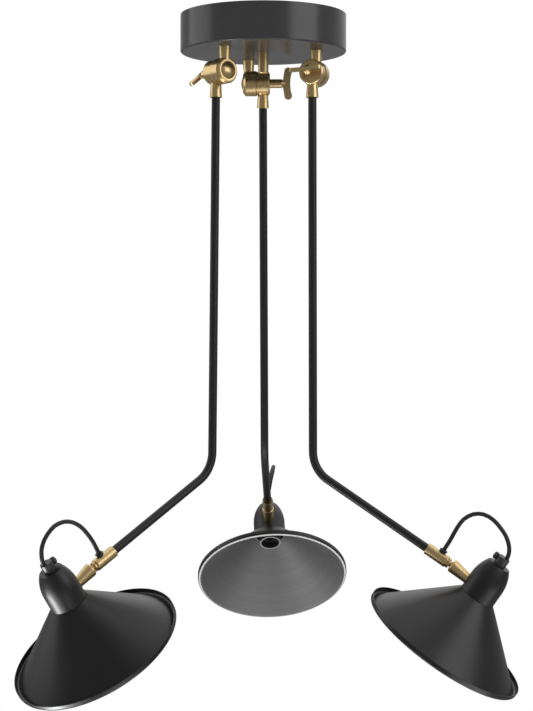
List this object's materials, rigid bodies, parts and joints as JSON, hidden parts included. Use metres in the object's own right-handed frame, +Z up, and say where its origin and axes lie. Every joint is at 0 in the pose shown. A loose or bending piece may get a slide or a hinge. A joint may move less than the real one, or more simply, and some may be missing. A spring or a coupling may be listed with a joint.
{
  "type": "ceiling lamp",
  "caption": "Round ceiling canopy with long bent black arms on brass toothed knuckles; each arm ends in a ball joint that carries a wide conical shade with a looped lead.",
  "frame": {"origin": "middle of the ceiling strap's screw slots, in the ceiling plane, on the canopy's axis", "axes": "+Z up into the ceiling along the canopy's axis, +X to the right in the picture, +Y away from its camera"},
  "size_m": [0.5841, 0.6184, 0.806],
  "materials": {
    "canopy_grey": "satin",
    "black_steel": "satin",
    "shade_black": "satin",
    "brass": "satin",
    "steel": "satin",
    "black_plastic": "satin",
    "cream_plastic": "satin",
    "lead_rubber": "satin"
  },
  "bodies": {
    "base": {"canopy": "canopy_grey", "ceiling_bracket": "steel", "fixing_rod": "steel", "rod_nut": "steel", "fixing_sleeve": "brass", "terminal_block": "cream_plastic"},
    "left_stem": {"left_stem_half": "brass", "left_stem_nut": "steel", "left_pivot_bolt": "brass"},
    "left_wing": {"left_wing_nut": "brass"},
    "left_arm": {"left_tube_half": "brass", "left_arm_tube": "black_steel"},
    "left_sleeve": {"left_end_sleeve": "brass", "left_cord_bush": "black_plastic", "left_ball_stud": "brass"},
    "left_head": {"left_ball_housing": "brass", "left_housing_nut": "steel", "left_cap": "shade_black", "left_cord_grip": "black_plastic", "left_grip_screw": "black_plastic", "left_lamp_holder": "black_plastic", "left_lamp_shell": "brass", "left_shade": "shade_black", "left_lead": "lead_rubber"},
    "right_stem": {"right_stem_half": "brass", "right_stem_nut": "steel", "right_pivot_bolt": "brass"},
    "right_wing": {"right_wing_nut": "brass"},
    "right_arm": {"right_tube_half": "brass", "right_arm_tube": "black_steel"},
    "right_sleeve": {"right_end_sleeve": "brass", "right_cord_bush": "black_plastic", "right_ball_stud": "brass"},
    "right_head": {"right_ball_housing": "brass", "right_housing_nut": "steel", "right_cap": "shade_black", "right_cord_grip": "black_plastic", "right_grip_screw": "black_plastic", "right_lamp_holder": "black_plastic", "right_lamp_shell": "brass", "right_shade": "shade_black", "right_lead": "lead_rubber"},
    "back_stem": {"back_stem_half": "brass", "back_stem_nut": "steel", "back_pivot_bolt": "brass"},
    "back_wing": {"back_wing_nut": "brass"},
    "back_arm": {"back_tube_half": "brass", "back_arm_tube": "black_steel"},
    "back_sleeve": {"back_end_sleeve": "brass", "back_cord_bush": "black_plastic", "back_ball_stud": "brass"},
    "back_head": {"back_ball_housing": "brass", "back_housing_nut": "steel", "back_cap": "shade_black", "back_cord_grip": "black_plastic", "back_grip_screw": "black_plastic", "back_lamp_holder": "black_plastic", "back_lamp_shell": "brass", "back_shade": "shade_black", "back_lead": "lead_rubber"}
  },
  "joints": [
    {"name": "left_stem_swivel", "type": "hinge", "parent": "base", "child": "left_stem", "pos_m": [-0.0455, -0.04712, -0.045], "axis": [0, 0, 1], "range_deg": [-45, 45]},
    {"name": "left_wing_turn", "type": "hinge", "parent": "left_stem", "child": "left_wing", "pos_m": [-0.0455, -0.04712, -0.0735], "axis": [-0.6074, 0.7944, 0], "range_deg": [-90, 90]},
    {"name": "left_knuckle_swing", "type": "hinge", "parent": "left_stem", "child": "left_arm", "pos_m": [-0.0455, -0.04712, -0.0735], "axis": [-0.6074, 0.7944, 0], "range_deg": [-5.7, 59.3]},
    {"name": "left_sleeve_turn", "type": "hinge", "parent": "left_arm", "child": "left_sleeve", "pos_m": [-0.17156, -0.1214, -0.63466], "axis": [-0.6715, -0.5134, -0.5344], "range_deg": [-55.9, 64.1]},
    {"name": "left_head_tilt", "type": "hinge", "parent": "left_sleeve", "child": "left_head", "pos_m": [-0.19708, -0.14091, -0.65497], "axis": [-0.6362, 0.7692, 0.0604], "range_deg": [-18.1, 31.9], "deforming": ["left_lead"]},
    {"name": "right_stem_swivel", "type": "hinge", "parent": "base", "child": "right_stem", "pos_m": [0.06355, -0.01585, -0.045], "axis": [0, 0, 1], "range_deg": [-45, 45]},
    {"name": "right_wing_turn", "type": "hinge", "parent": "right_stem", "child": "right_wing", "pos_m": [0.06355, -0.01585, -0.0735], "axis": [-0.2957, -0.9553, 0], "range_deg": [-90, 90]},
    {"name": "right_knuckle_swing", "type": "hinge", "parent": "right_stem", "child": "right_arm", "pos_m": [0.06355, -0.01585, -0.0735], "axis": [-0.2957, -0.9553, 0], "range_deg": [-5.1, 59.9]},
    {"name": "right_sleeve_turn", "type": "hinge", "parent": "right_arm", "child": "right_sleeve", "pos_m": [0.19151, -0.07383, -0.63615], "axis": [0.8021, -0.2483, -0.5432], "range_deg": [-61.8, 58.2]},
    {"name": "right_head_tilt", "type": "hinge", "parent": "right_sleeve", "child": "right_head", "pos_m": [0.22199, -0.08326, -0.65679], "axis": [-0.3119, -0.9498, -0.0264], "range_deg": [-18.5, 31.5], "deforming": ["right_lead"]},
    {"name": "back_stem_swivel", "type": "hinge", "parent": "base", "child": "back_stem", "pos_m": [-0.01805, 0.06296, -0.045], "axis": [0, 0, 1], "range_deg": [-45, 45]},
    {"name": "back_wing_turn", "type": "hinge", "parent": "back_stem", "child": "back_wing", "pos_m": [-0.01805, 0.06296, -0.0735], "axis": [0.9996, -0.0279, 0], "range_deg": [-90, 90]},
    {"name": "back_knuckle_swing", "type": "hinge", "parent": "back_stem", "child": "back_arm", "pos_m": [-0.01805, 0.06296, -0.0735], "axis": [0.9996, -0.0279, 0], "range_deg": [-14.2, 50.8]},
    {"name": "back_sleeve_turn", "type": "hinge", "parent": "back_arm", "child": "back_sleeve", "pos_m": [0.00582, 0.289, -0.60703], "axis": [0.0255, 0.9146, -0.4035], "range_deg": [-56.1, 63.9]},
    {"name": "back_head_tilt", "type": "hinge", "parent": "back_sleeve", "child": "back_head", "pos_m": [0.00679, 0.32375, -0.62236], "axis": [0.9981, -0.0004, 0.0622], "range_deg": [-3.8, 46.2], "deforming": ["back_lead"]}
  ]
}
